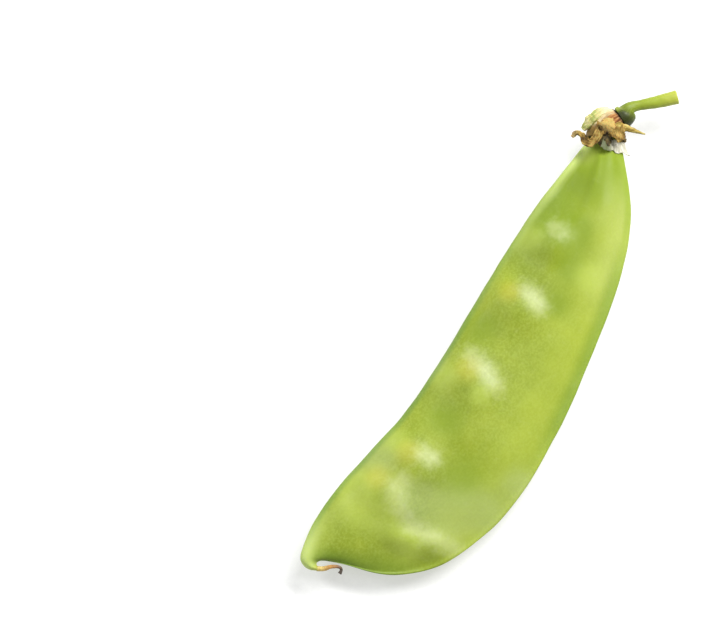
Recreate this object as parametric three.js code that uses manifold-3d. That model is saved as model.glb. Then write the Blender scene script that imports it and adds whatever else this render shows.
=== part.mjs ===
// A snow pea pod as picked, lying on its side: the flat pod with its row of small peas, the dried
// style at its beak, the withered calyx and papery stamen sheath round its neck, and its stalk.
//
// Units are millimetres and +Z is up. The shapes are laid out in plan: x runs from the beak to the
// stalk, y towards the ventral suture, the edge that the peas hang from. The finished group is then
// moved so that its origin is the centre of its footprint, on the surface that the pod lies on.

import * as THREE from "three";
import { mergeVertices } from "three/addons/utils/BufferGeometryUtils.js";
import Module from "manifold-3d";

const wasm = await Module();
wasm.setup();

// ---------------------------------------------------------------- driving dimensions

// The pod's outline, from the beak's tip to the neck that sits in the calyx. Each station gives a
// point on the ventral edge, the point across from it on the dorsal edge, and half the thickness.
const STATIONS = [
  { ventral: [0.5, -2.8], dorsal: [1.15, -2.35], half: 0.45 },
  { ventral: [-0.25, -1.3], dorsal: [1.6, -1.95], half: 0.85 },
  { ventral: [0.3, 0.6], dorsal: [2.6, -2.8], half: 1.1 },
  { ventral: [2.6, 1.6], dorsal: [4.0, -5.8], half: 1.25 },
  { ventral: [8.0, 2.6], dorsal: [7.0, -12.7], half: 1.75 },
  { ventral: [16, 2.6], dorsal: [14, -18.9], half: 2.9 },
  { ventral: [30, 1.15], dorsal: [27, -22.1], half: 3.65 },
  { ventral: [44, 1.9], dorsal: [43, -20.8], half: 3.65 },
  { ventral: [58, 3.2], dorsal: [58, -17.5], half: 3.5 },
  { ventral: [69, 3.9], dorsal: [70, -13.9], half: 3.4 },
  { ventral: [76, 3.7], dorsal: [78.6, -9.5], half: 3.1 },
  { ventral: [82.4, 3.5], dorsal: [85.8, -2.8], half: 2.4 },
  { ventral: [85.8, 3.2], dorsal: [87.6, -0.5], half: 1.7 },
];
const POD_ROWS = 96; // 8 rings to each stretch between two stations
const POD_SIDES = 40;

const FLATNESS = 2; // how level the valves are across: higher is flatter, with steeper edges
const EDGE_SLOPE = 1.15; // how gently the valves rise from the sutures
const CREST = 0.37; // the valves are fullest this share of the way across from the ventral edge,
const NECK_CREST = 0.6; // or this one, near the neck
const VENTRAL_RIB = 0.85; // radius of the rib along the ventral suture
const DORSAL_RIB = 0.6;
const FAINT_RIB = 0.5; // the ribs are this share of that in the pod's first half
const RIB_SHARE = 0.22; // a rib's radius is no more than this share of the width

// The peas: the middle of each swelling in plan.
const PEAS = [
  [17.2, -4.6],
  [24.0, -4.6],
  [40.6, -4.2],
  [54.3, -2.8],
  [66.0, -1.2],
];
const PEA_LENGTH = 2.9; // half the swelling's length along the pod
const PEA_BREADTH = 4.9;
const PEA_RISE = 1.0; // on the valve that faces up
const PEA_RISE_BELOW = 0.4; // the lower valve is pressed flatter by the weight

const MIDDLE_HEIGHT = 3.35; // of the pod's middle plane over the surface that it lies on
const REST_X = 42; // where the pod's bow touches that surface
const BOW_REACH = 45;
const BOW_RISE = 1.6; // of the middle plane, BOW_REACH to either side of REST_X
const ROLL = THREE.MathUtils.degToRad(3); // the ventral edge lies this much higher
const NECK_TURN = THREE.MathUtils.degToRad(3); // and the neck turns it a little further
const TURN_FROM = 58;
const TURN_TO = 86;

const CLEARANCE = 0.3; // between a piece and another that it is fitted round
const FACE_GAP = 0.05; // between flat faces that meet
const SLIVER = 0.002;

// ---------------------------------------------------------------- geometry helpers

const v3 = (x, y, z) => new THREE.Vector3(x, y, z);
const UP = v3(0, 0, 1);

// A smooth value through a list of numbers, evenly spaced from share 0 to share 1.
function along(numbers, share) {
  const line = new THREE.SplineCurve(numbers.map((n) => new THREE.Vector2(n, 0)));
  return line.getPoint(share).x;
}

// A closed cylinder whose points are each put in place by a formula. `place` gets the share of the
// way along (0 to 1), the angle round, and 1 on the wall or 0 at the centre of an end.
function mould(sides, rows, place) {
  const blank = new THREE.CylinderGeometry(1, 1, 1, sides, rows);
  blank.deleteAttribute("normal");
  blank.deleteAttribute("uv");
  const geometry = mergeVertices(blank, 1e-5);
  const points = geometry.attributes.position;
  for (let i = 0; i < points.count; i++) {
    const [x, y, z] = [points.getX(i), points.getY(i), points.getZ(i)];
    const at = place(0.5 + y, Math.atan2(x, z), Math.hypot(x, z));
    points.setXYZ(i, at.x, at.y, at.z);
  }
  return geometry;
}

// A rod along a curve. Its half breadth, across, and half depth, towards `face`, change along it.
function rod({ points, breadth, depth, face = UP, sides, rows }) {
  const path = new THREE.CatmullRomCurve3(points);
  return mould(sides, rows, (share, angle, reach) => {
    const ahead = path.getTangent(share);
    const across = face.clone().cross(ahead).normalize();
    const out = ahead.clone().cross(across);
    return path
      .getPoint(share)
      .addScaledVector(across, along(breadth, share) * Math.cos(angle) * reach)
      .addScaledVector(out, along(depth, share) * Math.sin(angle) * reach);
  });
}

function toSolid(geometry) {
  return new wasm.Manifold(
    new wasm.Mesh({
      numProp: 3,
      vertProperties: new Float32Array(geometry.attributes.position.array),
      triVerts: new Uint32Array(geometry.index.array),
    }),
  );
}

// A cut leaves slivers along its edge, too fine to matter, which are merged away.
function toGeometry(solid) {
  const mesh = solid.simplify(SLIVER).getMesh();
  const geometry = new THREE.BufferGeometry();
  geometry.setAttribute("position", new THREE.BufferAttribute(mesh.vertProperties, 3));
  geometry.setIndex(new THREE.BufferAttribute(mesh.triVerts, 1));
  return geometry;
}

function piece(name, geometry, color, roughness) {
  const material = new THREE.MeshStandardMaterial({ color, roughness, metalness: 0 });
  const mesh = new THREE.Mesh(geometry, material);
  mesh.name = name;
  return mesh;
}

// ---------------------------------------------------------------- the pod

const ventralEdge = new THREE.SplineCurve(STATIONS.map((s) => new THREE.Vector2(...s.ventral)));
const dorsalEdge = new THREE.SplineCurve(STATIONS.map((s) => new THREE.Vector2(...s.dorsal)));
const halves = STATIONS.map((s) => s.half);

const middleHeight = (x) => MIDDLE_HEIGHT + BOW_RISE * ((x - REST_X) / BOW_REACH) ** 2;
const turn = (x) => ROLL + NECK_TURN * THREE.MathUtils.smoothstep(x, TURN_FROM, TURN_TO);

// Half the pod's depth at a distance in from the ventral edge: the two valves' lens, with a
// rounded rib along each suture.
function halfDepth(share, inward, width, half) {
  const nearNeck = THREE.MathUtils.clamp((share - 0.6) / 0.25, 0, 1);
  const crest = THREE.MathUtils.lerp(CREST, NECK_CREST, nearNeck);
  const bolder = THREE.MathUtils.clamp((share - 0.5) / 0.3, 0, 1);
  const ribSize = THREE.MathUtils.lerp(FAINT_RIB, 1, bolder);
  const across = 2 * (inward / width) ** (Math.log(0.5) / Math.log(crest)) - 1;
  const lens = half * Math.max(0, 1 - Math.abs(across) ** FLATNESS) ** EDGE_SLOPE;
  const rib = (radius, from) => {
    const r = Math.min(radius, RIB_SHARE * width);
    return Math.sqrt(Math.max(0, r * r - (from - r) ** 2));
  };
  const ribs = rib(VENTRAL_RIB * ribSize, inward) + rib(DORSAL_RIB * ribSize, width - inward);
  return Math.cbrt(lens ** 3 + ribs ** 3);
}

function peaSwelling(x, y) {
  const rise = ([px, py]) =>
    Math.exp(-((((x - px) / PEA_LENGTH) ** 2 + ((y - py) / PEA_BREADTH) ** 2) ** 1.25));
  return PEAS.reduce((sum, pea) => sum + rise(pea), 0);
}

// A point of the pod's skin. Angle 0 is the ventral suture, and a quarter turn on is the top.
// `grow` moves the point out, for the pieces that are fitted round the neck.
function skin(share, angle, reach = 1, grow = 0) {
  const a = ventralEdge.getPoint(share);
  const b = dorsalEdge.getPoint(share);
  const width = a.distanceTo(b);
  const half = along(halves, share);
  const toVentral = a.clone().sub(b).normalize();
  const middle = a.clone().add(b).multiplyScalar(0.5);

  const offset = (width / 2) * Math.cos(angle) * reach;
  const side = Math.sign(Math.round(Math.sin(angle) * 1e6));
  const plan = middle.clone().addScaledVector(toVentral, offset);
  const full = Math.min(1, half / 3) ** 2; // no swelling where the pod is thin
  const swelling = (side > 0 ? PEA_RISE : PEA_RISE_BELOW) * peaSwelling(plan.x, plan.y) * full;
  const edge = Math.sin(angle) ** 2; // and none on the sutures
  const depth = (halfDepth(share, width / 2 - offset, width, half) + swelling * edge) * side * reach;

  const phi = turn(middle.x);
  const [wide, deep] = [offset + grow * Math.cos(angle), depth + grow * Math.sin(angle)];
  const level = wide * Math.cos(phi) - deep * Math.sin(phi);
  const height = wide * Math.sin(phi) + deep * Math.cos(phi);
  const at = middle.addScaledVector(toVentral, level);
  return v3(at.x, at.y, middleHeight(middle.x) + height);
}

function makePod() {
  const whole = toSolid(mould(POD_SIDES, POD_ROWS, skin));
  const table = new THREE.BoxGeometry(200, 100, 10);
  table.translate(REST_X, 0, -5);
  table.deleteAttribute("normal");
  table.deleteAttribute("uv");
  return toGeometry(whole.subtract(toSolid(mergeVertices(table))));
}

// ---------------------------------------------------------------- the dried style

const beakTip = skin(0, 0, 0);
const tipFace = ventralEdge.getPoint(0).sub(dorsalEdge.getPoint(0)).normalize();
const styleWay = v3(-tipFace.y, tipFace.x, 0); // out of the beak's end

function makeStyle() {
  return rod({
    points: [
      beakTip.clone().addScaledVector(styleWay, FACE_GAP),
      beakTip.clone().addScaledVector(styleWay, 1.0),
      beakTip.clone().add(v3(1.4, -1.5, 0.3)),
      beakTip.clone().add(v3(2.2, -2.6, 0.35)),
      beakTip.clone().add(v3(2.1, -3.25, 0.1)),
      beakTip.clone().add(v3(1.4, -3.35, 0.0)),
    ],
    breadth: [0.42, 0.42, 0.36, 0.31, 0.31, 0.34],
    depth: [0.42, 0.4, 0.34, 0.31, 0.31, 0.34],
    sides: 8,
    rows: 20,
  });
}

// ---------------------------------------------------------------- the calyx

const neckEnd = skin(1, 0, 0);
const [neckVentral, neckDorsal] = [ventralEdge.getPoint(1), dorsalEdge.getPoint(1)];
const ventralWay = v3(neckVentral.x - neckDorsal.x, neckVentral.y - neckDorsal.y, 0).normalize();
const stalkWay = ventralWay.clone().cross(UP); // along the neck, away from the pod

// The middle line of the cup, from its rim round the neck to its foot.
const CUP_OVER_NECK = 0.7; // how much of the neck is inside the cup
const cupLine = [
  neckEnd.clone().addScaledVector(stalkWay, -CUP_OVER_NECK),
  neckEnd.clone().addScaledVector(stalkWay, 0.2),
  v3(88.6, 1.75, 5.15),
  v3(90.3, 1.2, 5.3),
];
const calyxFoot = cupLine.at(-1); // where the calyx sits on the stalk's swollen head
const calyxWay = new THREE.CatmullRomCurve3(cupLine).getTangent(1);
const SOCKET_FROM = 0.86; // the share of the pod's length that the cup is hollowed from

// The five lobes, each as the points its middle line passes through, its half breadths, and the
// way that its flat side faces.
const LOBES = [
  {
    // the broad pale one along the ventral side
    line: [v3(90.0, 2.2, 6.4), v3(88.8, 3.5, 7.0), v3(87.2, 4.4, 6.8), v3(85.1, 5.1, 6.0)],
    breadth: [1.0, 1.7, 1.5, 0.45],
    faces: v3(0.15, 0.6, 0.8),
  },
  {
    // the long one that curls away over the ventral suture
    line: [
      v3(87.6, 2.9, 7.3),
      v3(86.4, 2.7, 7.9),
      v3(85.0, 2.5, 8.4),
      v3(83.7, 2.6, 8.6),
      v3(83.5, 3.9, 8.3),
      v3(84.0, 5.1, 7.8),
      v3(83.6, 6.0, 7.1),
      v3(82.9, 5.7, 6.5),
    ],
    breadth: [1.1, 1.0, 0.95, 0.85, 0.75, 0.65, 0.55, 0.35],
    faces: v3(0.1, 0.2, 0.97),
  },
  {
    // the crumpled one on top
    line: [v3(89.3, 1.6, 7.2), v3(88.4, 1.9, 8.0), v3(87.4, 2.0, 8.5), v3(86.4, 1.7, 8.7)],
    breadth: [0.9, 1.3, 1.2, 0.6],
    faces: v3(0.2, 0.1, 0.97),
  },
  {
    // the straight spike that stands out on the dorsal side
    line: [v3(88.5, 1.0, 7.3), v3(89.1, -0.6, 7.4), v3(89.6, -2.1, 7.35), v3(90.1, -3.8, 7.2)],
    breadth: [0.8, 0.65, 0.45, 0.32],
    faces: v3(0.2, 0, 0.98),
  },
  {
    // the short one beside it
    line: [v3(88.7, 0.3, 7.0), v3(88.0, -0.5, 7.6), v3(87.4, -1.2, 7.9), v3(86.8, -1.8, 7.9)],
    breadth: [0.9, 1.0, 0.8, 0.45],
    faces: v3(-0.1, -0.2, 0.97),
  },
];
const LOBE_HALF_DEPTH = 0.32;

function makeCalyx() {
  const cup = rod({
    points: cupLine,
    breadth: [3.5, 3.4, 2.8, 2.0],
    depth: [2.9, 2.9, 2.6, 2.0],
    sides: 24,
    rows: 12,
  });
  const lobes = LOBES.map(({ line, breadth, faces }) =>
    rod({
      points: line,
      breadth,
      depth: breadth.map(() => LOBE_HALF_DEPTH),
      face: faces,
      sides: 8,
      rows: 18,
    }),
  );
  const socket = mould(24, 12, (share, angle, reach) => {
    const at = skin(THREE.MathUtils.lerp(SOCKET_FROM, 1, share), angle, reach, CLEARANCE * reach);
    return share === 1 ? at.addScaledVector(stalkWay, CLEARANCE) : at;
  });
  const joined = lobes.map(toSolid).reduce((sum, lobe) => sum.add(lobe), toSolid(cup));
  return toGeometry(joined.subtract(toSolid(socket)));
}

// ---------------------------------------------------------------- the stamen sheath

// The papery rest of the stamen tube: a torn collar round part of the neck, before the calyx's rim.
const SHEATH_FROM = 80; // degrees round the neck
const SHEATH_TO = 184;
const SHEATH_BASE = 0.954; // shares of the pod's length: just clear of the cup's rim,
const SHEATH_EDGE = 0.893; // and the torn edge
const SHEATH_THICKNESS = 0.6;
const SHEATH_FLARE = 0.5;

function makeSheath() {
  const strip = new THREE.BoxGeometry(1, 1, 1, 20, 5, 1);
  strip.deleteAttribute("normal");
  strip.deleteAttribute("uv");
  const geometry = mergeVertices(strip);
  const points = geometry.attributes.position;
  for (let i = 0; i < points.count; i++) {
    const round = points.getX(i) + 0.5;
    const free = 0.5 - points.getY(i); // 0 at the calyx, 1 at the torn edge
    const degrees = THREE.MathUtils.lerp(SHEATH_FROM, SHEATH_TO, round);
    const teeth = 0.14 * Math.sin(9 * round) + 0.1 * Math.sin(23 * round + 1);
    const length = 1 - 0.45 * round ** 2 + teeth; // shorter towards the dorsal suture
    const share = THREE.MathUtils.lerp(SHEATH_BASE, SHEATH_EDGE, free * length);
    const grow = CLEARANCE + SHEATH_FLARE * free ** 2 + SHEATH_THICKNESS * (points.getZ(i) + 0.5);
    const at = skin(share, THREE.MathUtils.degToRad(degrees), 1, grow);
    points.setXYZ(i, at.x, at.y, at.z);
  }
  return geometry;
}

// ---------------------------------------------------------------- the stalk

function makeStalk() {
  return rod({
    points: [
      calyxFoot.clone().addScaledVector(calyxWay, FACE_GAP),
      calyxFoot.clone().addScaledVector(calyxWay, 1.05),
      v3(92.5, 0.9, 5.4),
      v3(93.8, 0.0, 5.4),
      v3(96.0, -2.1, 5.5),
      v3(98.5, -4.2, 5.6),
    ],
    breadth: [1.98, 1.85, 1.15, 0.85, 1.0, 1.15],
    depth: [1.98, 1.8, 1.15, 0.85, 1.0, 1.15],
    sides: 20,
    rows: 30,
  });
}

// ---------------------------------------------------------------- the whole

const pod = new THREE.Group();
pod.add(
  piece("pod", makePod(), 0x9fbf3f, 0.45),
  piece("dried_style", makeStyle(), 0xc08a45, 0.7),
  piece("calyx", makeCalyx(), 0xb59b5c, 0.85),
  piece("stamen_sheath", makeSheath(), 0xe8dfca, 0.7),
  piece("stalk", makeStalk(), 0x9cba48, 0.5),
);

const footprint = new THREE.Box3().setFromObject(pod);
pod.position.set(
  -(footprint.min.x + footprint.max.x) / 2,
  -(footprint.min.y + footprint.max.y) / 2,
  -footprint.min.z,
);

export default pod;
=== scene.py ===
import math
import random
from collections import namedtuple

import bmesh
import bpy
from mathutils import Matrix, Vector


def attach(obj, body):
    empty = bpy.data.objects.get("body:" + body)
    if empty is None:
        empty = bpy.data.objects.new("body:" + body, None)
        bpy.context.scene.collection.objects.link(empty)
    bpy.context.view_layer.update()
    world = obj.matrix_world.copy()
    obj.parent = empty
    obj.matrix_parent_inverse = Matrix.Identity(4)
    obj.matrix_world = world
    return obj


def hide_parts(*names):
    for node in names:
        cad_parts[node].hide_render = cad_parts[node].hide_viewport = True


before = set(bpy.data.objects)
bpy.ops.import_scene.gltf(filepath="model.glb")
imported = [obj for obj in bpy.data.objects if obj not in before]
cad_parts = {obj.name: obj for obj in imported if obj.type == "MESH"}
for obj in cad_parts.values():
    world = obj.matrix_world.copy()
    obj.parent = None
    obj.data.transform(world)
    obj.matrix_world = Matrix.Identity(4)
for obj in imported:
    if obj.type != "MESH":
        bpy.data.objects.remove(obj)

# %% [markdown]
# # A snow pea pod, as picked
# A snow pea is picked young: two thin, waxy valves joined along two sutures, over a row of peas
# that have hardly begun to swell. The flower is still there at both ends. Its style has dried to
# a hook on the beak, and its calyx and the papery sheath of its stamens have withered round the
# neck.
#
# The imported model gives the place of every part. Each part is modelled again here, finer, in the
# same place. The plan is in millimetres: x from the beak to the stalk, y towards the ventral
# suture, from which the peas hang.

MM = 0.001
PLAN_ZERO = Vector((-49.493, 7.825, 0.0))  # mm, where the plan's zero lies in the frame
ORIGIN = (0.0, 0.0, 0.0)
UP = Vector((0.0, 0.0, 1.0))


def place(x, y, z):
    """A point of the plan, in millimetres, as a place in the frame, in metres."""
    return (Vector((x, y, z)) + PLAN_ZERO) * MM


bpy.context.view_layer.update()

# %% [markdown]
# ## The camera
# A small thing is best seen from some way off through a long lens, so that its near end doesn't
# loom. The pod lies on its side, and the camera looks down on it from 10 degrees short of
# straight above. Depth of field stays off: every part is sharp.

# %% The camera
AZIMUTH = math.radians(-53.95)
ELEVATION = math.radians(80)
LENS = 400.0  # mm
SENSOR = 36.0
FRAME_WIDTH = 117.2  # mm of the plan that the view takes in
CLIP_START = 0.01  # m

aim = place(38.3, 16.5, 4.8)
level = math.cos(ELEVATION)
back = Vector((math.sin(AZIMUTH) * level, -math.cos(AZIMUTH) * level, math.sin(ELEVATION)))
bpy.ops.object.select_all(action="DESELECT")
bpy.ops.object.camera_add(location=aim + back * (FRAME_WIDTH * MM * LENS / SENSOR))
camera = bpy.context.object
camera.name = "camera"
camera.rotation_euler = (-back).to_track_quat("-Z", "Y").to_euler()
camera.data.lens = LENS
camera.data.sensor_width = SENSOR
camera.data.clip_start = CLIP_START
bpy.context.scene.camera = camera
print("camera distance in mm", round(FRAME_WIDTH * LENS / SENSOR))

# %% [markdown]
# ## The floor and the light
# The table is a plain white sheet. Waxy skin shows what it reflects, so the lights are large and
# soft: a long strip beyond the stalk, on the right, puts a glow on the side of each pea, a weaker
# square one fills in from the left, and a pale room stands all round. The Standard view keeps
# whites white.

# %% The floor
FLOOR_SIDE = 3.0  # m
bpy.ops.mesh.primitive_plane_add(size=FLOOR_SIDE, location=ORIGIN)
floor = bpy.context.object
floor.name = "floor"
print("floor side in m", FLOOR_SIDE)

# %% The lights
IMAGE_RIGHT = Vector((math.cos(AZIMUTH), math.sin(AZIMUTH), 0.0))
IMAGE_UP = UP.cross(IMAGE_RIGHT)
ROOM_LIGHT = 0.45
pod_middle = place(45, -8, 4)


def add_light(name, right, up, high, wide, deep, power, tint):
    """A soft light, aimed at the pod. Its place is in metres right, up and above it."""
    at = pod_middle + IMAGE_RIGHT * right + IMAGE_UP * up + UP * high
    bpy.ops.object.light_add(type="AREA", location=at)
    light = bpy.context.object
    light.name = name
    light.rotation_euler = (pod_middle - at).to_track_quat("-Z", "Y").to_euler()
    light.data.shape = "RECTANGLE"
    light.data.size, light.data.size_y = wide, deep
    light.data.energy = power
    light.data.color = tint


add_light("key_light", 0.26, 0.32, 0.48, 0.50, 0.16, 6.0, (1.0, 1.0, 0.98))
add_light("left_light", -0.40, 0.18, 0.45, 0.20, 0.20, 1.0, (0.97, 1.0, 1.0))

world = bpy.data.worlds.new("pale room")
world.use_nodes = True
room = world.node_tree.nodes["Background"].inputs
room["Color"].default_value = (1.0, 1.0, 1.0, 1.0)
room["Strength"].default_value = ROOM_LIGHT
bpy.context.scene.world = world
bpy.context.scene.view_settings.view_transform = "Standard"

# %% [markdown]
# ## Drawing with rings
# A pod, a stalk and a style are all long things whose section changes along them. One way to make
# such a thing is a curve with a bevel, but its section stays the same shape. Here a circle is
# extruded again and again instead. Each new ring is taken back to the origin, as to a drawing
# board, drawn to its own section there, and put in its place. Each point keeps a note of where it
# is on the skin, which the materials read later.

# %% Smooth runs
def smooth(values, share):
    """A smooth run through evenly spaced values, which are numbers or points."""
    reach = min(max(share, 0.0), 1.0) * (len(values) - 1)
    i = min(int(reach), len(values) - 2)
    t = reach - i
    a, b = values[i], values[i + 1]
    start = (b - values[max(i - 1, 0)]) / 2
    end = (values[min(i + 2, len(values) - 1)] - a) / 2
    return (
        (a * 2 - b * 2 + start + end) * t**3
        + (b * 3 - a * 3 - start * 2 - end) * t**2
        + start * t
        + a
    )


print("halfway through 0, 1, 4, 9:", smooth([0.0, 1.0, 4.0, 9.0], 0.5))

# %% Rings, and rings along a line
Ring = namedtuple("Ring", "centre turn across deep share")  # half sizes in mm, centre in metres


def turn_to(across, out):
    """The turn that takes the drawing board's X and Y to these two directions."""
    return Matrix((across, out, across.cross(out))).transposed().to_euler()


def rod_rings(line, breadth, depth, rows):
    """Rings along a line of points, with half breadths across it and half depths upwards."""
    rings = []
    step = 0.5 / rows
    for row in range(rows + 1):
        share = row / rows
        ahead = (smooth(line, share + step) - smooth(line, share - step)).normalized()
        across = UP.cross(ahead).normalized()
        turn = turn_to(across, ahead.cross(across))
        size = smooth(breadth, share), smooth(depth, share)
        rings.append(Ring(smooth(line, share), turn, *size, share))
    return rings


def end_ring(ring, size, share, onward=Vector(ORIGIN)):
    """A round ring of its own size beside an end ring, to close that end."""
    return ring._replace(centre=ring.centre + onward, across=size, deep=size, share=share)


def put_in_place(ring):
    """Takes the selected points from the drawing board to the ring's place."""
    bpy.ops.transform.resize(value=(ring.across, ring.deep, 1), center_override=ORIGIN)
    for axis, angle in zip("XYZ", ring.turn):
        bpy.ops.transform.rotate(value=-angle, orient_axis=axis, center_override=ORIGIN)
    bpy.ops.transform.translate(value=ring.centre)


def take_back(ring):
    """Takes the selected points from the ring's place back to the drawing board."""
    bpy.ops.transform.translate(value=-ring.centre)
    for axis, angle in reversed(list(zip("XYZ", ring.turn))):
        bpy.ops.transform.rotate(value=angle, orient_axis=axis, center_override=ORIGIN)
    back_to_one = (1 / ring.across, 1 / ring.deep, 1)
    bpy.ops.transform.resize(value=back_to_one, center_override=ORIGIN)


along_x = turn_to(Vector((0.0, 1.0, 0.0)), UP)
print("turn of a ring that faces along x, in degrees", [round(math.degrees(a)) for a in along_x])

# %% Choosing points in edit mode
def edit_mesh():
    """The mesh being edited."""
    return bmesh.from_edit_mesh(bpy.context.object.data)


def choose(wanted):
    """Selects the points that pass a test, and nothing else, and says how many they are."""
    mesh = edit_mesh()
    for part in (*mesh.faces, *mesh.edges, *mesh.verts):
        part.select_set(False)
    chosen = [v for v in mesh.verts if wanted(v)]
    for v in chosen:
        v.select_set(True)
    mesh.select_flush(True)
    bmesh.update_edit_mesh(bpy.context.object.data, loop_triangles=False, destructive=False)
    return len(chosen)


def draw_section(ring, depth_at):
    """Draws each pair of the selected ring's points to the depth wanted at their place across."""
    mesh = edit_mesh()
    points = [v for v in mesh.verts if v.select]
    pairs = {}
    for v in points:
        pairs.setdefault(round(v.co.x / MM, 3), []).append(v)
    for across, pair in pairs.items():
        tall = abs(pair[0].co.y) / MM
        if len(pair) < 2 or tall < 1e-4:  # the two points on the sutures stay where they are
            continue
        for v in points:
            v.select_set(v in pair)
        stretch = depth_at(ring, across) / ring.deep / tall
        bpy.ops.transform.resize(value=(1, stretch, 1), center_override=ORIGIN)
    for v in points:
        v.select_set(True)
    mesh.select_flush(True)


# %% Extruding a circle through its rings
def place_note():
    """The layer that holds each point's place on the skin."""
    layers = edit_mesh().verts.layers.float_vector
    return layers.get("skin_place") or layers.new("skin_place")


def note_places(ring):
    """Notes on each selected point where it is on the skin: round the ring, and along."""
    layer = place_note()
    for v in edit_mesh().verts:
        if v.select:
            across = max(-1.0, min(1.0, v.co.x / MM))
            over = math.copysign(math.sqrt(1 - across * across), v.co.y)
            v[layer] = (across, over, ring.share)


def extrude_through(rings, depth_at=None):
    """Puts the selected ring in the first ring's place, and extrudes it through the others."""
    for before, ring in zip([None, *rings], rings):
        if before:
            bpy.ops.mesh.extrude_region_move()
            take_back(before)
        if depth_at:
            draw_section(ring, depth_at)
        note_places(ring)
        put_in_place(ring)


def start_circle(name, sides):
    """A new piece that is one circle of points, 1 mm in radius, selected in edit mode."""
    bpy.ops.object.select_all(action="DESELECT")
    bpy.ops.mesh.primitive_circle_add(vertices=sides, radius=MM, location=ORIGIN)
    piece = bpy.context.object
    piece.name = piece.data.name = name
    bpy.ops.object.mode_set(mode="EDIT")
    bpy.ops.mesh.select_all(action="SELECT")
    return piece


def end_edit():
    """Turns the faces outwards, and leaves edit mode."""
    bpy.ops.mesh.select_all(action="SELECT")
    bpy.ops.mesh.normals_make_consistent(inside=False)
    bpy.ops.object.mode_set(mode="OBJECT")


def loft(name, sides, rings, depth_at=None):
    """Extrudes a circle through the rings, and closes both ends to a point."""
    piece = start_circle(name, sides)
    extrude_through(rings, depth_at)
    bpy.ops.mesh.merge(type="CENTER")
    first = rings[0]
    reach = 1.5 * max(first.across, first.deep) * MM
    choose(lambda v: (v.co - first.centre).length < reach and v[place_note()][2] <= first.share)
    bpy.ops.mesh.merge(type="CENTER")
    end_edit()
    print(name, "points", len(piece.data.vertices))
    return piece


# %% Modifiers, and a finished piece
def apply_modifier(piece, kind, **settings):
    """Adds a modifier, sets it, and applies it."""
    bpy.context.view_layer.objects.active = piece
    modifier = piece.modifiers.new(kind.lower(), kind)
    for name, value in settings.items():
        setattr(modifier, name, value)
    bpy.ops.object.modifier_apply(modifier=modifier.name)


def soften(piece, levels):
    """Halves the piece's faces this many times, and rounds them."""
    apply_modifier(piece, "SUBSURF", levels=levels, render_levels=levels)


def finish_piece(piece, node):
    """Smooths the shading, and says what the piece rides on and replaces."""
    bpy.ops.object.select_all(action="DESELECT")
    piece.select_set(True)
    bpy.context.view_layer.objects.active = piece
    bpy.ops.object.shade_smooth()
    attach(piece, "root")
    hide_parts(node)
    sides = list(zip(*[v.co / MM - PLAN_ZERO for v in piece.data.vertices]))
    box = [[round(pick(side), 2) for side in sides] for pick in (min, max)]
    print(piece.name, "faces", len(piece.data.polygons), "box in mm of the plan", box)


# %% [markdown]
# ## The pod
# Its outline is two edges: the ventral suture, nearly straight, and the dorsal one, a long bow.
# Between them the valves are a flat lens, fullest nearer the ventral side, with a rounded rib
# along each suture. So each ring is a circle drawn out to that section. It could be carved from a
# block instead, but rings keep the faces running along the pod, where its highlights run.

# %% The pod's outline
VENTRAL = [
    (0.5, -2.8), (-0.25, -1.3), (0.3, 0.6), (2.6, 1.6), (8.0, 2.6), (16, 2.6), (30, 1.15),
    (44, 1.9), (58, 3.2), (69, 3.9), (76, 3.7), (82.4, 3.5), (85.8, 3.2),
]
DORSAL = [
    (1.15, -2.35), (1.6, -1.95), (2.6, -2.8), (4.0, -5.8), (7.0, -12.7), (14, -18.9), (27, -22.1),
    (43, -20.8), (58, -17.5), (70, -13.9), (78.6, -9.5), (85.8, -2.8), (87.6, -0.5),
]
HALF_DEPTH = [0.45, 0.85, 1.1, 1.25, 1.75, 2.9, 3.65, 3.65, 3.5, 3.4, 3.1, 2.4, 1.7]
VENTRAL, DORSAL = ([Vector((*point, 0)) for point in side] for side in (VENTRAL, DORSAL))
widths = [(v - d).length for v, d in zip(VENTRAL, DORSAL)]
print("pod widths in mm", [round(width, 1) for width in widths])

# %% The pod's section
CREST = 0.37  # the valves are fullest this share of the way across,
NECK_CREST = 0.6  # or this, near the neck
EDGE_SLOPE = 1.15  # how gently the valves rise from the sutures
VENTRAL_RIB = 0.7  # mm, the rib's radius
DORSAL_RIB = 0.6
RIB_SHARE = 0.22  # a rib's radius is no more than this share of the width


def part_way(value, start, reach):
    """How much of a reach a value has come past its start, from 0 to 1."""
    return min(max((value - start) / reach, 0.0), 1.0)


def rib(radius, inward, width):
    """The half depth of a rounded rib at a distance in from its edge."""
    radius = min(radius, RIB_SHARE * width)
    return math.sqrt(max(0.0, radius**2 - (inward - radius) ** 2))


def pod_depth(ring, across):
    """Half the pod's depth at a place across a ring, from -1 at the dorsal suture to 1."""
    width = 2 * ring.across
    inward = (1 - across) * ring.across
    crest = CREST + (NECK_CREST - CREST) * part_way(ring.share, 0.6, 0.25)
    skewed = 2 * (inward / width) ** (math.log(0.5) / math.log(crest)) - 1
    lens = ring.deep * max(0.0, 1 - skewed**2) ** EDGE_SLOPE
    fade = 0.5 + 0.5 * part_way(ring.share, 0.5, 0.3)  # bolder towards the neck
    ribs = rib(VENTRAL_RIB * fade, inward, width) + rib(DORSAL_RIB * fade, width - inward, width)
    return (lens**3 + ribs**3) ** (1 / 3)


widest = Ring(None, None, max(widths) / 2, max(HALF_DEPTH), 0.5)
depths = [round(pod_depth(widest, across), 2) for across in (-0.9, -0.5, 0.0, 0.5, 0.9)]
print("half depths across the middle in mm", depths)

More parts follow.
